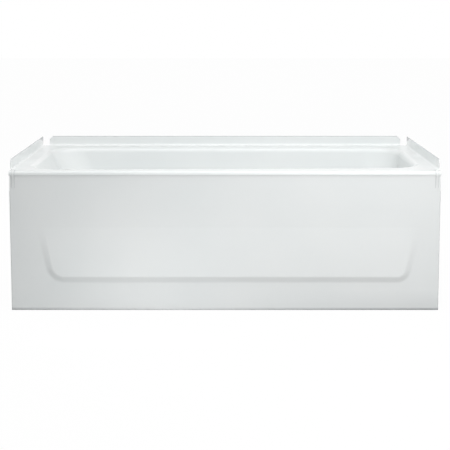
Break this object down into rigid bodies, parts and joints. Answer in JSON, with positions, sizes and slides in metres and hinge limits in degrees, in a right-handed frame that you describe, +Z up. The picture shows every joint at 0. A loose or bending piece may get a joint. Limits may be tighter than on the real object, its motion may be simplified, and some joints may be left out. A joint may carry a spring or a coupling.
{
  "type": "alcove bathtub",
  "caption": "Enamelled steel alcove bathtub with tile upstands, an embossed front apron, a sloped back rest and a trip-lever waste and overflow at the right-hand end.",
  "frame": {"origin": "bottom centre of the tub's box, on the bathroom floor", "axes": "+Z up; +X towards the drain end; the apron faces -Y and the back wall upstand faces +Y"},
  "size_m": [1.524, 0.762, 0.54],
  "materials": {
    "enamel": "glossy white vitreous enamel on pressed steel",
    "foam": "expanded polystyrene beads",
    "chrome": "polished chrome plate on brass",
    "brass": "plain rough brass, dulled",
    "rubber": "matt black rubber",
    "steel": "plain stainless steel wire"
  },
  "bodies": {
    "tub": {"basin_shell": "enamel", "apron_panel": "enamel", "foam_pad": "foam", "drain_flange": "chrome", "strainer_grid": "chrome", "strainer_screw": "chrome", "drain_gasket": "rubber", "drain_shoe": "brass", "branch_nut": "brass", "branch_washer": "rubber", "tee_top_nut": "brass", "tee_top_washer": "rubber", "tailpiece_nut": "brass", "tailpiece_washer": "rubber", "elbow_nut": "brass", "elbow_washer": "rubber", "waste_tee": "brass", "tailpiece": "brass", "overflow_tube": "brass", "overflow_elbow": "brass", "overflow_gasket": "rubber", "overflow_plate": "chrome", "upper_plate_screw": "chrome", "lower_plate_screw": "chrome", "pivot_pin": "steel"},
    "trip_lever": {"trip_lever": "chrome"},
    "linkage": {"cotter_pin": "steel", "yoke": "brass", "upper_rod": "brass", "adjusting_nut": "brass", "lower_rod": "brass", "plunger": "brass"}
  },
  "joints": [
    {"name": "lever_pivot", "type": "hinge", "parent": "tub", "child": "trip_lever", "pos_m": [0.68393, 0.004, 0.41331], "axis": [0, -1, 0], "range_deg": [0, 23.4]},
    {"name": "plunger_slide", "type": "slide", "parent": "tub", "child": "linkage", "axis": [0, 0, 1], "range_m": [0, 0.01987]}
  ],
  "couplings": [
    {"joint": "plunger_slide", "follows": "lever_pivot", "m_per_rad": 0.048656}
  ]
}
